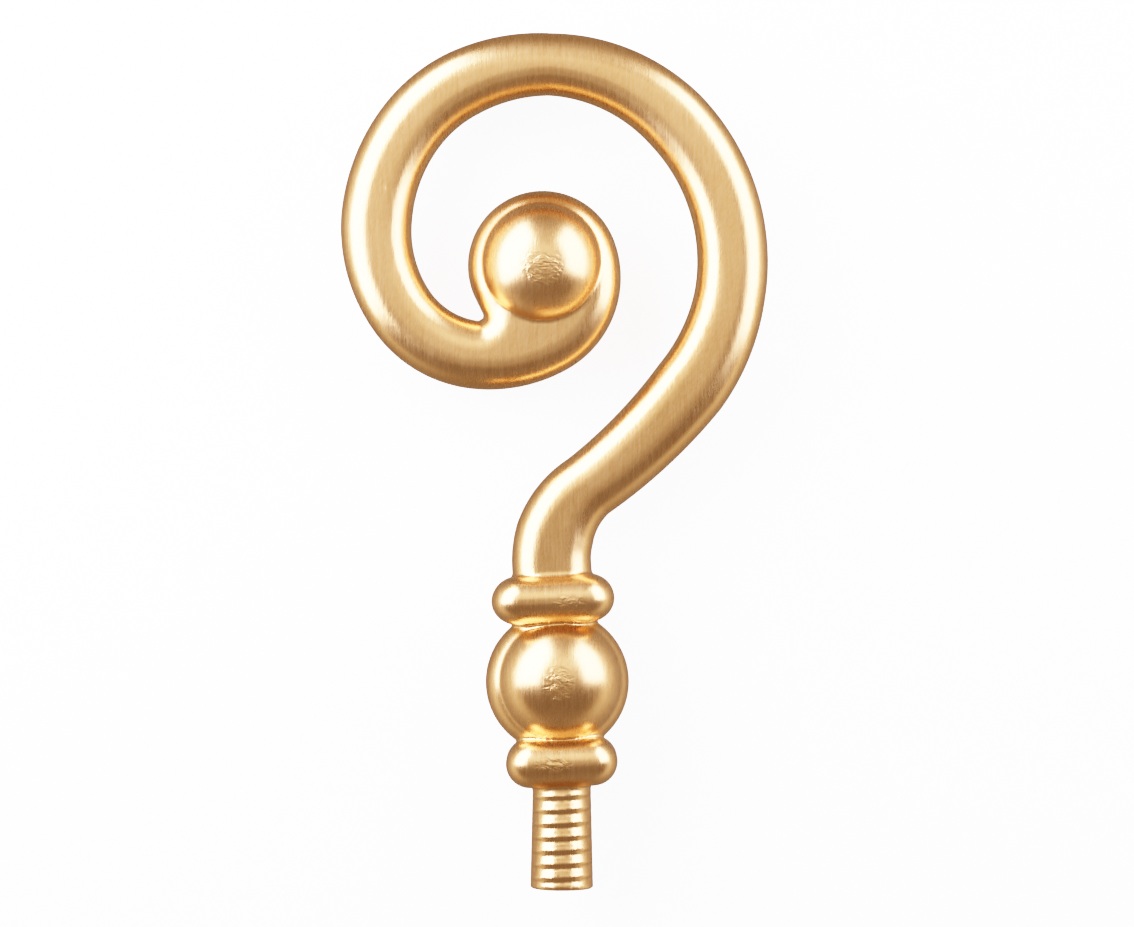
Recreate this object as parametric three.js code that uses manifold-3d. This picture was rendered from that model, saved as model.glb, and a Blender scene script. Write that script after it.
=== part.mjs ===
// Crosier head: a flat-faced scroll with a ball in its eye, a balled knop between two rings,
// and a coarse threaded stub that screws into the staff. One casting, lying on its back.
// Millimetres, +Z up. X runs across the crook, Y along the staff towards the top of the crook.
import * as THREE from 'three';
import { mergeVertices } from 'three/addons/utils/BufferGeometryUtils.js';
import Module from 'manifold-3d';

const wasm = await Module();
wasm.setup();

// ---- driving dimensions -------------------------------------------------------------------

const plate = {
  halfThickness: 11,        // front face to parting plane
  edgeWidth: 9.4,           // how far the rounded edge reaches in from the outline
  seamWidth: 1.6,           // flat land along the parting plane
  edgeSteps: 4,             // facets in each rounded edge
};
const stub = {
  length: 38,               // from the cut end to the lower ring
  root: 6,                  // how far it runs on inside the lower ring
  endRadius: 11.8,
  neckRadius: 10.9,
  pitch: 5.06,
  ridge: 0.8,               // thread depth on the front and back
  sides: 20,
  stepsPerTurn: 5,
};
const lowerRing = { y: 0, x: 0, halfWidth: 20.9, halfDepth: 17, halfHeight: 9, rim: 9 };
const upperRing = { y: 61, x: -0.7, halfWidth: 23, halfDepth: 18.5, halfHeight: 9, rim: 10 };
const knop = { x: -0.4, y: 30, radius: 26.85 };
const ballRadius = 24.2;
const ballFlatRadius = 8;   // worn flat on each back ball, on which the casting lies
const knopBall = { x: 0.6, y: 30.5 };
const eyeBall = { x: 0.6, y: 186.6 };
const lean = 2.43;          // the casting stands this many degrees off the stub's axis
const ringAboveEnd = 47.5;  // height of the lower ring, where the lean starts

// Centreline of the scroll, from the upper ring to the bottom of the volute: a chain of arcs,
// each with its radius (negative turns right), its sweep in degrees, and the bar's width at its end.
const neck = { x: -0.6, y: 72.2, heading: 93.8, width: 29.8 };
const scroll = [
  { radius: -34.1, sweep: 22.5, width: 29.5 },
  { radius: -34.1, sweep: 37.2, width: 25.6 },
  { radius: 195, sweep: 15.7, width: 28.7 },
  { radius: 76.6, sweep: 28, width: 26.6 },
  { radius: 76.6, sweep: 53.6, width: 26.5 },
  { radius: 68.2, sweep: 44.3, width: 23.4 },
  { radius: 68.2, sweep: 28.8, width: 25.6 },
  { radius: 55, sweep: 26.2, width: 26.1 },
  { radius: 65.8, sweep: 31.7, width: 26.7 },
  { radius: 53.9, sweep: 39.3, width: 25.8 },
  { radius: 39, sweep: 50.5, width: 25.6 },
];
// Outline of the eye, from the bottom of the volute round to its inner flank.
const eye = [
  { radius: 60, sweep: 34.3 },
  { radius: 39.5, sweep: 81.6 },
  { radius: 28.9, sweep: 48.4 },
  { radius: 28.1, sweep: 137.2 },
];
const flankLength = 6.6;    // straight flank between the eye and the notch
const notchRadius = 1.3;
const chordError = 0.1;     // how far a facet may lie inside its arc

// ---- helpers ------------------------------------------------------------------------------

const radians = THREE.MathUtils.degToRad;

/** Left-hand normal of a heading given in degrees. */
function leftOf(heading) {
  const angle = radians(heading);
  return new THREE.Vector2(-Math.sin(angle), Math.cos(angle));
}

/** Number of straight steps along an arc that keep within the chord error. */
function stepsAlong(radius, sweep) {
  const step = 2 * Math.acos(1 - chordError / Math.abs(radius));
  return Math.ceil(radians(sweep) / step);
}

/** Points, headings and widths along a chain of tangent arcs. */
function followArcs(start, arcs) {
  let { x, y, heading, width = 0 } = start;
  const stations = [{ point: new THREE.Vector2(x, y), heading, width }];
  for (const arc of arcs) {
    const turn = Math.sign(arc.radius) * arc.sweep;
    const centre = new THREE.Vector2(x, y).addScaledVector(leftOf(heading), arc.radius);
    const count = stepsAlong(arc.radius, arc.sweep);
    for (let i = 1; i <= count; i += 1) {
      const turned = heading + (turn * i) / count;
      const point = centre.clone().addScaledVector(leftOf(turned), -arc.radius);
      const here = THREE.MathUtils.lerp(width, arc.width ?? width, i / count);
      stations.push({ point, heading: turned, width: here });
    }
    const last = stations.at(-1);
    ({ x, y } = last.point);
    heading = last.heading;
    width = last.width;
  }
  return stations;
}

/** One edge of the bar: side 1 is the left of its heading, -1 the right. */
function edgeOf(stations, side) {
  return stations.map(({ point, heading, width }) =>
    point.clone().addScaledVector(leftOf(heading), (side * width) / 2));
}

/** A closed mesh as a manifold solid. */
function solidOf(geometry) {
  const bare = geometry.index ? geometry.toNonIndexed() : geometry.clone();
  bare.deleteAttribute('normal');
  bare.deleteAttribute('uv');
  const welded = mergeVertices(bare, 1e-4);
  const triangles = [];
  const index = welded.index.array;
  for (let i = 0; i < index.length; i += 3) {
    const [a, b, c] = index.slice(i, i + 3);
    if (a !== b && b !== c && c !== a) triangles.push(a, b, c);
  }
  return new wasm.Manifold(new wasm.Mesh({
    numProp: 3,
    vertProperties: new Float32Array(welded.attributes.position.array),
    triVerts: new Uint32Array(triangles),
  }));
}

/** A manifold solid as a flat-shaded geometry. */
function geometryOf(solid) {
  const { vertProperties, triVerts } = solid.getMesh();
  const geometry = new THREE.BufferGeometry();
  geometry.setAttribute('position', new THREE.BufferAttribute(vertProperties, 3));
  geometry.setIndex(new THREE.BufferAttribute(triVerts, 1));
  geometry.computeVertexNormals();
  return geometry;
}

// ---- sub-parts ----------------------------------------------------------------------------

/** Outline of the flat casting: knop disc, neck, scroll, eye and notch, anticlockwise. */
function plateOutline() {
  const bar = followArcs(neck, scroll);
  const outer = edgeOf(bar, -1);
  const inner = edgeOf(bar, 1).reverse();
  const end = bar.at(-1);
  const around = followArcs({ ...outer.at(-1), heading: end.heading }, eye);
  const flank = around.at(-1);
  const ahead = leftOf(flank.heading - 90);
  const corner = flank.point.clone().addScaledVector(ahead, flankLength);
  const turnBack = { radius: -notchRadius, sweep: flank.heading - end.heading - 180 };
  const notch = followArcs({ x: corner.x, y: corner.y, heading: flank.heading }, [turnBack]);
  const tip = notch.at(-1).point.x;
  const innerEdge = inner.filter((point, i) => i > 3 || point.x < tip - notchRadius);
  return [
    ...knopArc(inner.at(-1).x, outer[0].x),
    ...outer,
    ...around.slice(1).map(({ point }) => point),
    ...notch.map(({ point }) => point),
    ...innerEdge,
  ];
}

/** The knop's disc, from the left side of the neck round its underside to the right side. */
function knopArc(leftX, rightX) {
  const from = Math.acos((leftX - knop.x) / knop.radius);
  const to = Math.acos((rightX - knop.x) / knop.radius) + 2 * Math.PI;
  const disc = new THREE.EllipseCurve(knop.x, knop.y, knop.radius, knop.radius, from, to);
  return disc.getPoints(stepsAlong(knop.radius, THREE.MathUtils.radToDeg(to - from)));
}

/** The flat casting with both its edges rounded. */
function castPlate() {
  const depth = plate.seamWidth;
  const geometry = new THREE.ExtrudeGeometry(new THREE.Shape(plateOutline()), {
    depth,
    bevelThickness: plate.halfThickness - depth / 2,
    bevelSize: plate.edgeWidth,
    bevelOffset: -plate.edgeWidth,
    bevelSegments: plate.edgeSteps,
  });
  return geometry.translate(0, 0, -depth / 2);
}

/** A ball in the middle of the plate, with a small flat at the back. */
function ball({ x, y }) {
  const around = 28;
  const rings = 12;
  const flatAngle = Math.asin(ballFlatRadius / ballRadius);
  const profile = [new THREE.Vector2(0, -ballRadius * Math.cos(flatAngle))];
  for (let i = 0; i <= rings; i += 1) {
    const angle = THREE.MathUtils.lerp(flatAngle, Math.PI, i / rings);
    const radius = i < rings ? ballRadius * Math.sin(angle) : 0;
    profile.push(new THREE.Vector2(radius, -ballRadius * Math.cos(angle)));
  }
  return new THREE.LatheGeometry(profile, around).rotateX(Math.PI / 2).translate(x, y, 0);
}

/** A bun-shaped ring: a rounded rectangle in plan, with its rim rounded over its whole height. */
function ring({ x, y, halfWidth, halfDepth, halfHeight, rim }) {
  const corner = rim + 1.5;
  const land = 1;
  const plan = new THREE.Shape();
  plan.moveTo(halfWidth, corner - halfDepth);
  plan.absarc(halfWidth - corner, halfDepth - corner, corner, 0, Math.PI / 2);
  plan.absarc(corner - halfWidth, halfDepth - corner, corner, Math.PI / 2, Math.PI);
  plan.absarc(corner - halfWidth, corner - halfDepth, corner, Math.PI, 1.5 * Math.PI);
  plan.absarc(halfWidth - corner, corner - halfDepth, corner, 1.5 * Math.PI, 2 * Math.PI);
  const geometry = new THREE.ExtrudeGeometry(plan, {
    depth: land,
    bevelThickness: halfHeight - land / 2,
    bevelSize: rim,
    bevelOffset: -rim,
    bevelSegments: plate.edgeSteps,
    curveSegments: 6,
  });
  return geometry.translate(0, 0, -land / 2).rotateX(-Math.PI / 2).translate(x, y, 0);
}

/** The tapered stub, its right-hand thread fading out at the parting plane. */
function threadedStub() {
  const height = stub.length + stub.root;
  const turns = height / stub.pitch;
  const steps = Math.round(turns * stub.stepsPerTurn);
  const geometry = new THREE.CylinderGeometry(1, 1, height, stub.sides, steps);
  geometry.translate(0, height / 2, 0);
  const points = geometry.attributes.position;
  for (let i = 0; i < points.count; i += 1) {
    const [x, y, z] = [points.getX(i), points.getY(i), points.getZ(i)];
    const across = Math.hypot(x, z);
    if (across < 0.5) continue;
    const core = THREE.MathUtils.lerp(stub.endRadius, stub.neckRadius, y / stub.length);
    const phase = 2 * Math.PI * (y / stub.pitch) + Math.atan2(z, x);
    const fade = Math.min(1, 2.5 * Math.abs(z));
    const radius = core - (stub.ridge / 2) * fade * (1 + Math.cos(phase));
    points.setXYZ(i, x * radius, y, z * radius);
  }
  return geometry;
}

// ---- the casting --------------------------------------------------------------------------

/** Everything above the stub, built upright from the lower ring and then leant over. */
function leaningHead() {
  const pieces = [castPlate(), ring(lowerRing), ring(upperRing), ball(knopBall), ball(eyeBall)];
  return pieces
    .map((geometry) => geometry.rotateZ(radians(lean)).translate(0, ringAboveEnd, 0))
    .map(solidOf)
    .reduce((whole, next) => whole.add(next));
}

const casting = leaningHead().add(solidOf(threadedStub()));
const satinGold = new THREE.MeshStandardMaterial({ color: 0xd8ad66, metalness: 0.9, roughness: 0.38 });
const crosierHead = new THREE.Mesh(geometryOf(casting), satinGold);
crosierHead.name = 'crosier_head';

// The origin is under the middle of the casting, on the surface that it lies on.
const box = new THREE.Box3().setFromObject(crosierHead);
const middle = box.getCenter(new THREE.Vector3());
crosierHead.position.set(-middle.x, -middle.y, -box.min.z);

const crosier = new THREE.Group();
crosier.add(crosierHead);

export default crosier;
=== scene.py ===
# %% [markdown]
# A bishop's crosier ends in a crook. This one is a single casting in light alloy, finished in satin
# gold: a flat bar with rounded edges rolls up into a scroll with a ball in its eye, and below it
# come a knop, two rings and the coarse thread that screws into the staff. Here it lies on its back.

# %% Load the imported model
import math
import bpy
import numpy as np
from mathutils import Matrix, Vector


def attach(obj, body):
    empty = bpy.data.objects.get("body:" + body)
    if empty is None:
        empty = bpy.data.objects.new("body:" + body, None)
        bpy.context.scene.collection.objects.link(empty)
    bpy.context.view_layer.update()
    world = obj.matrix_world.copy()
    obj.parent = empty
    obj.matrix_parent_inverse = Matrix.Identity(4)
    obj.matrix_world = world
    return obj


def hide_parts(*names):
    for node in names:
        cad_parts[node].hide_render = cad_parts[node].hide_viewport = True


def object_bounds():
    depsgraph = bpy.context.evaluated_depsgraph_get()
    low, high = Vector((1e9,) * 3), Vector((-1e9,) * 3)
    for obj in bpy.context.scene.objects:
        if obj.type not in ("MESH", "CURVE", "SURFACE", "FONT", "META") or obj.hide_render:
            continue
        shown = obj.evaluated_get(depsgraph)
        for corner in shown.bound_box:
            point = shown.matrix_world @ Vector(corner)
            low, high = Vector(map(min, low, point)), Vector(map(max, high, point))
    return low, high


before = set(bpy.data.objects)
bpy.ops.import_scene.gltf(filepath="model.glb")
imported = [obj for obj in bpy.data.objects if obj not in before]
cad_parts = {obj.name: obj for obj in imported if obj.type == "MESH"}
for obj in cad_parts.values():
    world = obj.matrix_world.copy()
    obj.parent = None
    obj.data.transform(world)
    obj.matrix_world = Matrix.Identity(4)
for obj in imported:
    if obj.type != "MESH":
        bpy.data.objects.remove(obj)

cad_low, cad_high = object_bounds()
print("CAD box in mm:", [round(1000 * side, 1) for side in cad_high - cad_low])

# %% [markdown]
# The sizes were measured, except the thickness of the plate and the depth of the rings, which are
# estimates. Lengths are in millimetres, because a pattern maker thinks in them; the finished mesh is
# scaled to metres at the end. The rounded edge is 2.1 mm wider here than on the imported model, which
# softens the lights along the bar.

# %% Sizes of the casting
MM = 0.001
HALF_THICKNESS = 11.0    # front face to parting plane
EDGE_WIDTH = 11.5        # how far the rounded edge reaches in from the outline
BALL_RADIUS = 24.2
BALL_FLAT_RADIUS = 8.0   # the flats at the back, on which the casting lies
LEAN = math.radians(2.43)
RING_ABOVE_END = 47.5    # height of the lower ring, where the lean starts
KNOP = (-0.4, 30.0, 26.85)                    # x, y and radius of the knop's disc
BALLS = {"knop": (0.6, 30.5), "eye": (0.6, 186.6)}
RINGS = {                                     # centre x and y, half width, half depth, rim
    "lower": (0.0, 0.0, 20.9, 17.0, 9.0),
    "upper": (-0.7, 61.0, 23.0, 18.5, 10.0),
}
RING_HALF_HEIGHT = 9.0
MID_HEIGHT = math.sqrt(BALL_RADIUS**2 - BALL_FLAT_RADIUS**2)
print("the parting plane lies", round(MID_HEIGHT, 2), "mm above the table")

# %% [markdown]
# The scroll's centreline is a chain of arcs, each running smoothly into the next. The bar's width
# changes from arc to arc. The numbers of the neck, the scroll and the eye weren't set out by hand: a
# small fitting program found them, by least squares against the measured outline, and they were
# rounded afterwards.

# %% The scroll as a chain of arcs
NECK = (-0.6, 72.2, 93.8, 29.8)               # x, y, heading and width where the scroll starts
SCROLL = [                                    # radius (negative turns right), sweep, width at the end
    (-34.1, 22.5, 29.5), (-34.1, 37.2, 25.6), (195.0, 15.7, 28.7), (76.6, 28.0, 26.6),
    (76.6, 53.6, 26.5), (68.2, 44.3, 23.4), (68.2, 28.8, 25.6), (55.0, 26.2, 26.1),
    (65.8, 31.7, 26.7), (53.9, 39.3, 25.8), (39.0, 50.5, 25.6),
]
EYE = [(60.0, 34.3, 0), (39.5, 81.6, 0), (28.9, 48.4, 0), (28.1, 137.2, 0)]
FLANK_LENGTH = 6.6
NOTCH_RADIUS = 1.3
ARC_STEP = 0.4                                # length of the short chords that draw an arc


def left_of(heading):
    """Unit vector to the left of a heading in degrees."""
    return np.array([-math.sin(math.radians(heading)), math.cos(math.radians(heading))])


def follow_arcs(start, arcs):
    """Points, headings and widths along a chain of tangent arcs."""
    point, heading, width = np.array(start[:2]), start[2], start[3]
    stations = [(point, heading, width)]
    for radius, sweep, end_width in arcs:
        turn = math.copysign(sweep, radius)
        centre = point + radius * left_of(heading)
        steps = math.ceil(math.radians(sweep) * abs(radius) / ARC_STEP)
        for share in np.linspace(0, 1, steps + 1)[1:]:
            turned = heading + turn * share
            here = width + (end_width - width) * share
            stations.append((centre - radius * left_of(turned), turned, here))
        point, heading, width = stations[-1]
    return stations


def casting_outline():
    """The flat casting's outline, anticlockwise: knop disc, outer edge, eye, notch, inner edge."""
    bar = follow_arcs(NECK, SCROLL)
    outer = [point - left_of(heading) * width / 2 for point, heading, width in bar]
    inner = [point + left_of(heading) * width / 2 for point, heading, width in reversed(bar)]
    last_heading = bar[-1][1]
    around = follow_arcs((*outer[-1], last_heading, 0), EYE)
    end, end_heading, _ = around[-1]
    corner = end + FLANK_LENGTH * left_of(end_heading - 90)
    back = [(-NOTCH_RADIUS, end_heading - last_heading - 180, 0)]
    notch = follow_arcs((*corner, end_heading, 0), back)
    tip = notch[-1][0][0]
    inner = [point for i, point in enumerate(inner) if i > 40 or point[0] < tip]
    x, y, radius = KNOP
    start_angle = math.acos((inner[-1][0] - x) / radius)
    end_angle = math.acos((outer[0][0] - x) / radius) + 2 * math.pi
    angles = np.linspace(start_angle, end_angle, round((end_angle - start_angle) * radius / ARC_STEP))
    disc = [np.array([x + radius * math.cos(a), y + radius * math.sin(a)]) for a in angles]
    return np.array(disc + outer + [s[0] for s in around[1:]] + [s[0] for s in notch] + inner)


outline = casting_outline()
print("outline:", len(outline), "points,", outline.ptp(axis=0).round(1), "mm")

# %% [markdown]
# The outline sits askew on the stub, as on the real casting. The stub's axis is put where the
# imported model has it: the crook's bow has to reach the right side of the model's box.

# %% Where the stub stands in the frame
leant_x = outline[:, 0] * math.cos(LEAN) - outline[:, 1] * math.sin(LEAN)
STUB_FOOT = Vector((cad_high.x / MM - leant_x.max(), cad_low.y / MM, MID_HEIGHT))
PIVOT = STUB_FOOT + Vector((0, RING_ABOVE_END, 0))
print("stub foot in mm:", [round(c, 2) for c in STUB_FOOT])

# %% [markdown]
# A casting has no sharp inner corners: molten metal and the pattern maker's fillets round them.
# Joining meshes with a Boolean leaves knife-sharp creases, so the casting is made as a *rule*
# instead. For any point in space, Math nodes work out how far it lies from the disc, the balls, the
# rings and the stub, and Smooth Minimum melts those distances into one. A Volume Cube fills a grid
# with the rule, and Volume to Mesh draws the skin where it is zero.

# %% A small helper that turns formulas into Math nodes
class Term:
    """A socket in a formula: operators between terms add Math nodes to the tree."""

    def __init__(self, tree, socket):
        self.tree, self.socket = tree, socket

    def math(self, operation, *others):
        node = self.tree.nodes.new("ShaderNodeMath")
        node.operation = operation
        for slot, value in zip(node.inputs, (self, *others)):
            if isinstance(value, Term):
                self.tree.links.new(value.socket, slot)
            else:
                slot.default_value = value
        return Term(self.tree, node.outputs[0])

    def __add__(self, other):
        return self.math("ADD", other)

    def __sub__(self, other):
        return self.math("SUBTRACT", other)

    def __mul__(self, other):
        return self.math("MULTIPLY", other)

    def __truediv__(self, other):
        return self.math("DIVIDE", other)

    def abs(self):
        return self.math("ABSOLUTE")

    def sqrt(self):
        return self.math("SQRT")

    def at_least(self, other):
        return self.math("MAXIMUM", other)

    def at_most(self, other):
        return self.math("MINIMUM", other)

    def melt(self, other, fillet):
        return self.math("SMOOTH_MIN", other, fillet)


def hypot(*terms):
    """Length of a vector given by its components."""
    total = terms[0] * terms[0]
    for term in terms[1:]:
        total = total + term * term
    return total.sqrt()


# %% [markdown]
# Each form has a rule of its own. It gives a distance in millimetres: below zero inside the metal,
# above zero outside. The plate's rule needs the outline twice, as a line for how far off it is, and
# as a filled face for which side of it a point lies on. The rounded edge is a quarter of an ellipse.

# %% The rule of the plate
def plate_rule(x, y, z, tree, outline_socket, sizes):
    """Flat faces with elliptical edges, inside the outline."""
    plan = tree.nodes.new("ShaderNodeCombineXYZ")
    tree.links.new(x.socket, plan.inputs[0])
    tree.links.new(y.socket, plan.inputs[1])
    curve = tree.nodes.new("GeometryNodeMeshToCurve")
    tree.links.new(outline_socket, curve.inputs[0])
    fill = tree.nodes.new("GeometryNodeFillCurve")
    tree.links.new(curve.outputs[0], fill.inputs[0])
    found = {}
    for element, source in (("EDGES", outline_socket), ("FACES", fill.outputs[0])):
        near = tree.nodes.new("GeometryNodeProximity")
        near.target_element = element
        tree.links.new(source, near.inputs[0])
        tree.links.new(plan.outputs[0], near.inputs["Sample Position"])
        found[element] = Term(tree, near.outputs["Distance"])
    outside = (found["FACES"] * 2.0).math("GREATER_THAN", found["EDGES"])
    signed = found["EDGES"] * (outside * 2.0 - 1.0)
    across = (signed + sizes["Edge width"]).at_least(0.0) / sizes["Edge width"]
    deep = z / sizes["Half thickness"]
    return (hypot(across, deep) - 1.0) * sizes["Half thickness"]


# %% The rules of a ball and a ring
def ball_rule(x, y, z, place, sizes):
    """A sphere in the middle of the plate."""
    return hypot(x - place[0], y - place[1], z) - sizes["Ball radius"]


RING_CORNER = 1.5          # how much more the ring's corners are rounded than its rim


def ring_rule(x, y, z, ring):
    """A bun-shaped ring: rounded rectangle in plan, rim rounded over its height."""
    centre_x, centre_y, half_width, half_depth, rim = ring
    corner = rim + RING_CORNER
    side = (x - centre_x).abs() - (half_width - corner)
    front = z.abs() - (half_depth - corner)
    out = hypot(side.at_least(0.0), front.at_least(0.0)) + side.at_least(front).at_most(0.0)
    across = (out - (corner - rim)).at_least(0.0) / rim
    along = (y - centre_y) / RING_HALF_HEIGHT
    return (hypot(across, along) - 1.0) * RING_HALF_HEIGHT


# %% [markdown]
# The stub screws into the staff. A thread is often swept round a helix, but this one is cast in a
# mould of two halves, and a pattern can only be drawn out of the sand if the thread fades out where
# the halves meet. In a rule that is one multiplication. The thread is a wave along the stub that
# turns with the angle round it. A second, finer wave makes the lower flank of each crest shorter and
# steeper. It would also draw a faint line above the crest, but that is finer than the grid and lost.

# %% The rule of the threaded stub
STUB_END_RADIUS = 11.8
STUB_NECK_RADIUS = 10.9
STUB_LENGTH = 38.0
STUB_INSIDE = 6.0          # how far it runs on inside the lower ring
THREAD_START = 31.9        # where the wave starts, above the stub's end
THREAD_SLANT = 0.6         # share of a true screw's slant, chosen
FINE_WAVE = 0.55           # height of the finer wave against the main one
WAVE_PEAK = 1.3            # about the most that the two waves reach together
FADE_STEEPNESS = 2.5
END_ROUNDING = 1.2


def stub_rule(x, y, z, sizes):
    """A tapered stub whose thread fades out at the parting plane."""
    reach = hypot(x, z)
    taper = (STUB_NECK_RADIUS - STUB_END_RADIUS) / STUB_LENGTH
    core = y * taper + STUB_END_RADIUS
    around = (z.math("ARCTAN2", x) - math.pi / 2) * THREAD_SLANT
    turned = (y - THREAD_START) / sizes["Thread pitch"] * (2 * math.pi) + around
    double = turned * 2.0
    wave = turned.math("SINE") - double.math("SINE") * FINE_WAVE + WAVE_PEAK
    fade = (z.abs() / reach * FADE_STEEPNESS).at_most(1.0)
    groove = wave * fade * sizes["Thread depth"] / (2 * WAVE_PEAK)
    side = reach - core + groove
    inner_end = y - (STUB_LENGTH + STUB_INSIDE)
    side = side.math("SMOOTH_MAX", y * -1.0, END_ROUNDING)
    return side.at_least(inner_end)


# %% [markdown]
# The tree takes the flat outline and the sizes, and gives the finished mesh. Its sizes are inputs
# with names, so that another crosier needs only other numbers. The Voxel is the step of the grid:
# half the step means eight times the work.

# %% The tree's sizes
CASTING_SIZES = {
    "Half thickness": HALF_THICKNESS, "Edge width": EDGE_WIDTH, "Ball radius": BALL_RADIUS,
    "Thread pitch": 5.06, "Thread depth": 0.8, "Ball fillet": 0.7, "Ring fillet": 2.2,
    "Voxel": 0.75,
}
FIELD_AT_SKIN = 20.0       # the rule is stored upside down, and lifted so that it stays above zero
TABLE_ROUNDING = 0.8       # edge of the flats on which the casting lies
GRID_MARGIN = 3.0
print("grid step in mm:", CASTING_SIZES["Voxel"])

# %% The Geometry Nodes tree
def casting_tree():
    """Geometry Nodes that turn the flat outline into the whole casting."""
    tree = bpy.data.node_groups.new("Casting from an outline", "GeometryNodeTree")
    tree.interface.new_socket("Geometry", in_out="INPUT", socket_type="NodeSocketGeometry")
    for name, value in CASTING_SIZES.items():
        socket = tree.interface.new_socket(name, in_out="INPUT", socket_type="NodeSocketFloat")
        socket.default_value = value
    tree.interface.new_socket("Material", in_out="INPUT", socket_type="NodeSocketMaterial")
    tree.interface.new_socket("Geometry", in_out="OUTPUT", socket_type="NodeSocketGeometry")
    group_in = tree.nodes.new("NodeGroupInput")
    group_out = tree.nodes.new("NodeGroupOutput")
    sizes = {name: Term(tree, group_in.outputs[name]) for name in CASTING_SIZES}

    place = tree.nodes.new("GeometryNodeInputPosition")
    apart = tree.nodes.new("ShaderNodeSeparateXYZ")
    tree.links.new(place.outputs[0], apart.inputs[0])
    row_x, row_y, row_z = (Term(tree, socket) for socket in apart.outputs)
    stub_x, stub_y, z = row_x - STUB_FOOT.x, row_y - STUB_FOOT.y, row_z - STUB_FOOT.z
    right, up = stub_x, stub_y - RING_ABOVE_END
    x = right * math.cos(LEAN) + up * math.sin(LEAN)
    y = up * math.cos(LEAN) - right * math.sin(LEAN)

    whole = plate_rule(x, y, z, tree, group_in.outputs["Geometry"], sizes)
    for ball in BALLS.values():
        whole = whole.melt(ball_rule(x, y, z, ball, sizes), sizes["Ball fillet"])
    for ring in RINGS.values():
        whole = whole.melt(ring_rule(x, y, z, ring), sizes["Ring fillet"])
    whole = whole.melt(stub_rule(stub_x, stub_y, z, sizes), sizes["Ring fillet"])
    whole = whole.math("SMOOTH_MAX", row_z * -1.0, TABLE_ROUNDING)

    low = cad_low / MM - Vector((GRID_MARGIN,) * 3)
    span = (cad_high - cad_low) / MM + Vector((GRID_MARGIN,) * 3) * 2
    cube = tree.nodes.new("GeometryNodeVolumeCube")
    tree.links.new((whole * -1.0 + FIELD_AT_SKIN).socket, cube.inputs["Density"])
    cube.inputs["Min"].default_value = low
    counts = [math.ceil(side / CASTING_SIZES["Voxel"]) for side in span]
    cube.inputs["Max"].default_value = low + Vector(counts) * CASTING_SIZES["Voxel"]
    for axis, count in zip("XYZ", counts):
        cube.inputs[f"Resolution {axis}"].default_value = count + 1
    skin = tree.nodes.new("GeometryNodeVolumeToMesh")
    skin.inputs["Threshold"].default_value = FIELD_AT_SKIN
    tree.links.new(cube.outputs[0], skin.inputs["Volume"])
    metres = tree.nodes.new("GeometryNodeTransform")
    metres.inputs["Scale"].default_value = (MM,) * 3
    tree.links.new(skin.outputs[0], metres.inputs[0])
    smooth = tree.nodes.new("GeometryNodeSetShadeSmooth")
    tree.links.new(metres.outputs[0], smooth.inputs[0])
    real = tree.nodes.new("GeometryNodeRealizeInstances")
    tree.links.new(smooth.outputs[0], real.inputs[0])
    finish = tree.nodes.new("GeometryNodeSetMaterial")
    tree.links.new(real.outputs[0], finish.inputs[0])
    tree.links.new(group_in.outputs["Material"], finish.inputs["Material"])
    tree.links.new(finish.outputs[0], group_out.inputs[0])
    return tree


# %% [markdown]
# Satin gold is a gold lacquer over metal that was brushed by hand. Three patterns make it, all read
# from the place on the casting, so that they stay put on it: long streaks where the brush ran up and
# down the faces, short slanting flecks of grain, and broad clouds where the lacquer is thicker. All
# three turn the colour a little; the streaks and clouds turn the roughness, the streaks and flecks the
# relief. Small patches of wrinkles sit on the fronts of the balls and the rings, and a fine seam runs
# where the mould parted. What wrinkled the real casting isn't known. A thin clear coat of lacquer
# whitens the brightest lights. Wrinkles, streaks and seam are relief in the material alone, so the
# mesh doesn't have them.

# %% Where the wrinkles are
def leant(x, y):
    """A place on the leaning casting, in metres in the frame."""
    right = x * math.cos(LEAN) - y * math.sin(LEAN)
    up = x * math.sin(LEAN) + y * math.cos(LEAN)
    return Vector((PIVOT.x + right, PIVOT.y + up)) * MM


# x, y, height above the parting plane, half width, half height
WRINKLES = {
    "knop": (0.3, 29.5, 24.2, 5.0, 7.4),
    "eye": (0.6, 184.6, 24.2, 7.2, 6.2),
    "lower ring": (-3.5, -0.4, 17.0, 6.5, 3.0),
    "upper ring": (5.6, 59.6, 18.5, 5.5, 3.0),
}
print("wrinkled patches:", ", ".join(WRINKLES))

# %% Colours and strengths of the finish
THIN_LACQUER = (0.95, 0.60, 0.29, 1)
THICK_LACQUER = (0.79, 0.445, 0.175, 1)
COAT = 0.35
COAT_ROUGHNESS = 0.3
LEAST_ROUGHNESS = 0.165
FRONT_ONLY = 8.0           # how deep a wrinkled patch reaches, so that the back stays smooth
SEAM_HALF_WIDTH = 0.4
FLECK_ANGLE = math.radians(22)
RELIEF_HEIGHT = 0.00032
RELIEF_STRENGTH = 0.55

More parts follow.
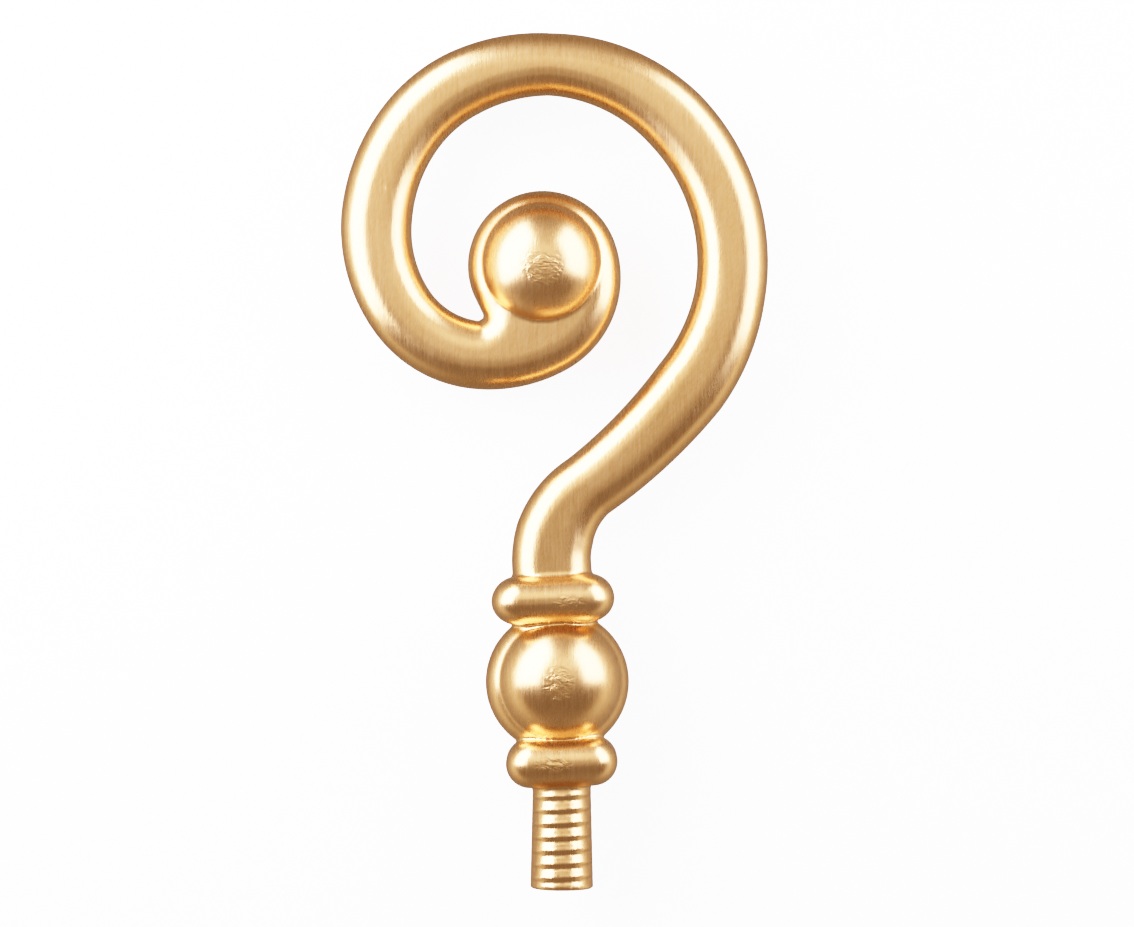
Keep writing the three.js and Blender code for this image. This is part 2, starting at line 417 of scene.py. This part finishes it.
# %% The satin gold finish
def satin_gold():
    """Gold lacquer over brushed metal."""
    material = bpy.data.materials.new("satin_gold")
    material.use_nodes = True
    nodes, links = material.node_tree.nodes, material.node_tree.links
    shader = nodes["Principled BSDF"]
    shader.inputs["Metallic"].default_value = 1.0
    shader.inputs["Coat Weight"].default_value = COAT
    shader.inputs["Coat Roughness"].default_value = COAT_ROUGHNESS
    place = nodes.new("ShaderNodeTexCoord")

    def grain(scale, turn=0.0, detail=2.0, distortion=0.0):
        """Noise whose grains are 1/scale metres long on each axis."""
        mapping = nodes.new("ShaderNodeMapping")
        mapping.inputs["Scale"].default_value = scale
        spin = nodes.new("ShaderNodeVectorRotate")
        spin.rotation_type = "Z_AXIS"
        spin.inputs["Angle"].default_value = turn
        links.new(place.outputs["Object"], spin.inputs["Vector"])
        links.new(spin.outputs[0], mapping.inputs["Vector"])
        speckle = nodes.new("ShaderNodeTexNoise")
        speckle.inputs["Scale"].default_value = 1.0
        speckle.inputs["Detail"].default_value = detail
        speckle.inputs["Distortion"].default_value = distortion
        links.new(mapping.outputs[0], speckle.inputs["Vector"])
        return Term(material.node_tree, speckle.outputs["Fac"])

    streaks = grain((1500.0, 75.0, 320.0), detail=3.0)
    flecks = grain((1100.0, 380.0, 600.0), turn=FLECK_ANGLE)
    clouds = grain((30.0, 30.0, 30.0))
    creased = grain((240.0, 360.0, 260.0), distortion=1.4)

    apart = nodes.new("ShaderNodeSeparateXYZ")
    links.new(place.outputs["Object"], apart.inputs[0])
    x, y, z = (Term(material.node_tree, socket) for socket in apart.outputs)
    wrinkled = None
    for right, up, front, half_width, half_height in WRINKLES.values():
        centre = leant(right, up)
        reach = hypot((x - centre.x) / (half_width * MM), (y - centre.y) / (half_height * MM),
                      (z - (MID_HEIGHT + front) * MM) / (FRONT_ONLY * MM))
        patch = ((reach * -1.0 + 1.25) * 2.0).at_least(0.0).at_most(1.0)
        wrinkled = patch if wrinkled is None else wrinkled.at_least(patch)
    seam = ((z - MID_HEIGHT * MM).abs() / (SEAM_HALF_WIDTH * MM) * -1.0 + 1.0).at_least(0.0)

    worn = nodes.new("ShaderNodeValToRGB")
    worn.color_ramp.elements[0].position = 0.30
    worn.color_ramp.elements[0].color = THICK_LACQUER
    worn.color_ramp.elements[1].position = 0.70
    worn.color_ramp.elements[1].color = THIN_LACQUER
    links.new((streaks * 0.42 + flecks * 0.33 + clouds * 0.25).socket, worn.inputs[0])
    links.new(worn.outputs[0], shader.inputs["Base Color"])
    links.new((streaks * 0.12 + clouds * 0.10 + LEAST_ROUGHNESS).socket, shader.inputs["Roughness"])

    facing = nodes.new("ShaderNodeSeparateXYZ")
    links.new(place.outputs["Normal"], facing.inputs[0])
    # the brush only reached the faces: the steep edges stay smooth
    level = Term(material.node_tree, facing.outputs[2]).abs()
    brushed = ((level - 0.7) * 4.0).at_least(0.15).at_most(1.0)

    relief = (streaks * 0.20 + flecks * 0.16) * brushed + (creased - 0.5) * wrinkled * 3.6 + seam * 0.8
    bump = nodes.new("ShaderNodeBump")
    bump.inputs["Strength"].default_value = RELIEF_STRENGTH
    bump.inputs["Distance"].default_value = RELIEF_HEIGHT
    links.new(relief.socket, bump.inputs["Height"])
    links.new(bump.outputs[0], shader.inputs["Normal"])
    return material


gold = satin_gold()
print("finish:", gold.name, "with", len(gold.node_tree.nodes), "nodes")

# %% [markdown]
# Now the tree runs. A Geometry Nodes modifier carries it on the flat outline, and a Decimate
# modifier after it takes out faces that the broad smooth surfaces don't need. Both are spent at
# once: the evaluated result becomes a plain mesh, and the pattern is thrown away, as in a foundry.

# %% Grow the casting
KEPT_FACES = 0.62          # the even grid makes more faces than the broad smooth surfaces need


def grow_casting():
    """Runs the tree on the outline and keeps the result as a plain mesh."""
    flat = bpy.data.meshes.new("outline")
    corners = len(outline)
    flat.from_pydata([(x, y, 0) for x, y in outline], [(i, (i + 1) % corners) for i in range(corners)], [])
    pattern = bpy.data.objects.new("pattern", flat)
    bpy.context.scene.collection.objects.link(pattern)
    modifier = pattern.modifiers.new("casting", "NODES")
    modifier.node_group = casting_tree()
    sockets = {item.name: item.identifier for item in modifier.node_group.interface.items_tree
               if item.in_out == "INPUT"}
    for name, value in CASTING_SIZES.items():
        modifier[sockets[name]] = value
    modifier[sockets["Material"]] = gold
    thinned = pattern.modifiers.new("fewer faces", "DECIMATE")
    thinned.ratio = KEPT_FACES
    graph = bpy.context.evaluated_depsgraph_get()
    mesh = bpy.data.meshes.new_from_object(pattern.evaluated_get(graph))
    bpy.data.objects.remove(pattern)
    return mesh


casting = bpy.data.objects.new("crosier_casting", grow_casting())
bpy.context.scene.collection.objects.link(casting)
print("casting:", len(casting.data.vertices), "vertices,", len(casting.data.polygons), "faces")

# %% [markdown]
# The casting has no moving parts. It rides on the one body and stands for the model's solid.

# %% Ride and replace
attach(casting, "root")
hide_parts("crosier_head")

# %% [markdown]
# Polished metal has almost no look of its own: it shows the room. So the room is built with as much
# care as the piece. The casting lies on a light table, between two long soft boxes, and the camera
# hangs straight above. The table is hidden from mirror rays, and the lower half of the room stands
# in for it there, because the casting would otherwise mirror its own shadow all along its edges.

# %% Floor
def pale_floor():
    """A light table, which the metal doesn't mirror."""
    mesh = bpy.data.meshes.new("floor")
    half = 4.0
    mesh.from_pydata([(-half, -half, 0), (half, -half, 0), (half, half, 0), (-half, half, 0)], [],
                     [(0, 1, 2, 3)])
    floor = bpy.data.objects.new("floor", mesh)
    material = bpy.data.materials.new("light_table")
    material.use_nodes = True
    glowing = material.node_tree.nodes["Principled BSDF"]
    glowing.inputs["Base Color"].default_value = (0.86, 0.86, 0.86, 1)
    glowing.inputs["Roughness"].default_value = 0.9
    glowing.inputs["Emission Color"].default_value = (1, 1, 1, 1)
    glowing.inputs["Emission Strength"].default_value = 2.0
    floor.visible_glossy = False
    floor.visible_diffuse = False
    floor.visible_shadow = False
    mesh.materials.append(material)
    bpy.context.scene.collection.objects.link(floor)


pale_floor()

# %% [markdown]
# A soft box is a rectangular area light. What matters for a mirror is its radiance, the brightness
# of its surface, and not its power, so the power is worked out from radiance and area. Two weaker
# boxes overhead give the faces their middle tone. The places were found by following what the balls
# mirror, and the strengths, like the room's and the film's, by trying until the tones agreed.

# %% Lights
def soft_box(name, place, aim, size, radiance, colour=(1, 1, 1)):
    """A rectangular soft light at a place, turned to its aim; its brightness is a radiance."""
    data = bpy.data.lights.new(name, "AREA")
    data.shape = "RECTANGLE"
    data.size, data.size_y = size
    data.energy = radiance * size[0] * size[1] * math.pi
    data.color = colour
    lamp = bpy.data.objects.new(name, data)
    lamp.location = place
    lamp.rotation_mode = "QUATERNION"
    lamp.rotation_quaternion = (Vector(aim) - Vector(place)).to_track_quat("-Z", "Y")
    lamp.visible_camera = False
    bpy.context.scene.collection.objects.link(lamp)


WHITE_BOX = (0.93, 1.0, 1.3)         # a little cool, so that the gold mirrors it as white
soft_box("left_box", (-0.295, 0.21, 0.315), (-0.01, 0.117, 0.315), (0.72, 0.48), 8.5, WHITE_BOX)
soft_box("right_box", (0.448, 0.258, 0.325), (-0.033, 0.124, 0.325), (0.743, 0.50), 6.4, WHITE_BOX)
soft_box("top_box", (0.0, 0.21, 0.50), (0, 0.21, 0), (0.44, 0.32), 0.6)
soft_box("fill_box", (0.0, 0.06, 0.40), (0, 0.06, 0), (0.42, 0.46), 0.28)


# %% [markdown]
# The rest of the room is the world. Above the horizon it is brighter beyond the crook and darker
# towards the stub. Below it, it plays the lit table: bright at the sides near the horizon, and
# dimmer straight down.

# %% The room
def studio_world():
    """Room light by direction: a ramp along y above the horizon, a lit table below it."""
    world = bpy.data.worlds.new("studio")
    bpy.context.scene.world = world
    world.use_nodes = True
    tree = world.node_tree
    background = tree.nodes["Background"]
    direction = tree.nodes.new("ShaderNodeTexCoord")
    apart = tree.nodes.new("ShaderNodeSeparateXYZ")
    tree.links.new(direction.outputs["Generated"], apart.inputs[0])
    ramp = tree.nodes.new("ShaderNodeValToRGB")
    ramp.color_ramp.interpolation = "EASE"
    stops = [(0.0, 0.35), (0.20, 0.26), (0.42, 0.27), (0.52, 0.35), (0.65, 0.8), (0.78, 1.2), (0.90, 1.0),
             (0.97, 0.6)]
    elements = ramp.color_ramp.elements
    while len(elements) < len(stops):
        elements.new(0.5)
    for element, (position, grey) in zip(elements, stops):
        element.position = position
        element.color = (grey, grey, grey, 1)
    spread = tree.nodes.new("ShaderNodeMapRange")
    spread.inputs["From Min"].default_value = -1
    tree.links.new(apart.outputs[1], spread.inputs["Value"])
    tree.links.new(spread.outputs[0], ramp.inputs[0])
    x, y, z = (Term(tree, socket) for socket in apart.outputs)
    sideways = (x * x) / (x * x + y * y + 0.0001)
    depth = (z * -1.0).at_least(0.0)
    table = tree.nodes.new("ShaderNodeValToRGB")
    glow = [(0.0, 1.8), (0.17, 1.2), (0.5, 0.62), (0.87, 0.38), (1.0, 0.3)]
    while len(table.color_ramp.elements) < len(glow):
        table.color_ramp.elements.new(0.5)
    for element, (position, grey) in zip(table.color_ramp.elements, glow):
        element.position = position
        element.color = (grey, grey * 0.97, grey * 0.92, 1)
    tree.links.new(depth.socket, table.inputs[0])
    lower = tree.nodes.new("ShaderNodeMix")
    lower.data_type = "RGBA"
    lower.inputs[6].default_value = (0.34, 0.33, 0.31, 1)
    tree.links.new(sideways.socket, lower.inputs[0])
    tree.links.new(table.outputs[0], lower.inputs[7])
    horizon = tree.nodes.new("ShaderNodeMapRange")
    horizon.inputs["From Min"].default_value = -0.02
    horizon.inputs["From Max"].default_value = 0.28
    tree.links.new(apart.outputs[2], horizon.inputs["Value"])
    blend = tree.nodes.new("ShaderNodeMix")
    blend.data_type = "RGBA"
    tree.links.new(horizon.outputs[0], blend.inputs[0])
    tree.links.new(lower.outputs[2], blend.inputs[6])
    tree.links.new(ramp.outputs[0], blend.inputs[7])
    tree.links.new(blend.outputs[2], background.inputs["Color"])


studio_world()

# %% [markdown]
# Bright metal holds far more light than a picture can. Film doesn't cut it off: its answer bends
# over towards white. The same bend is drawn here as a curve for each colour. Green and blue have a
# little more contrast, which deepens the gold in the shade.

# %% Film
FILM_CONTRAST = (1.0, 1.2, 1.3)      # red, green, blue: golds deepen in the shade, whites stay white
FILM_TOE = 0.15                      # up to here the film answers in proportion
FILM_TOP = 6.0


def film_curve():
    """A film's answer to light: proportional for dark tones, then a soft shoulder up to white."""
    view = bpy.context.scene.view_settings
    view.view_transform = "Standard"
    view.use_curve_mapping = True
    mapping = view.curve_mapping
    mapping.use_clip = False
    mapping.clip_max_x = FILM_TOP
    steps = [0.0, 0.05, 0.1, FILM_TOE, 0.3, 0.5, 0.8, 1.2, 1.7, 2.3, 3.0, 4.0, FILM_TOP]
    for curve, contrast in zip(mapping.curves, FILM_CONTRAST):
        while len(curve.points) < len(steps):
            curve.points.new(1.0, 1.0)
        for point, light in zip(curve.points, steps):
            above = max(0.0, light - FILM_TOE) / (1 - FILM_TOE)
            tone = min(light, FILM_TOE) + (1 - FILM_TOE) * (1 - math.exp(-above))
            point.location = (light, tone**contrast)
    mapping.update()


film_curve()
print("film: light of", FILM_TOP, "comes out white")

# %% [markdown]
# The camera hangs 1.6 m above the parting plane and looks straight down. The lens follows from the
# width of the picture, so there is nothing to tune by eye.

# %% Camera
VIEW_WIDTH = 0.42525       # width of the picture at the height of the casting's parting plane
CAMERA_DISTANCE = 1.6
camera_data = bpy.data.cameras.new("camera")
camera_data.sensor_width = 36
camera_data.lens = camera_data.sensor_width * CAMERA_DISTANCE / VIEW_WIDTH
camera = bpy.data.objects.new("camera", camera_data)
camera.location = (0.0047, -0.0011, MID_HEIGHT * MM + CAMERA_DISTANCE)
bpy.context.scene.collection.objects.link(camera)
bpy.context.scene.camera = camera
print("lens in mm:", round(camera_data.lens, 1))
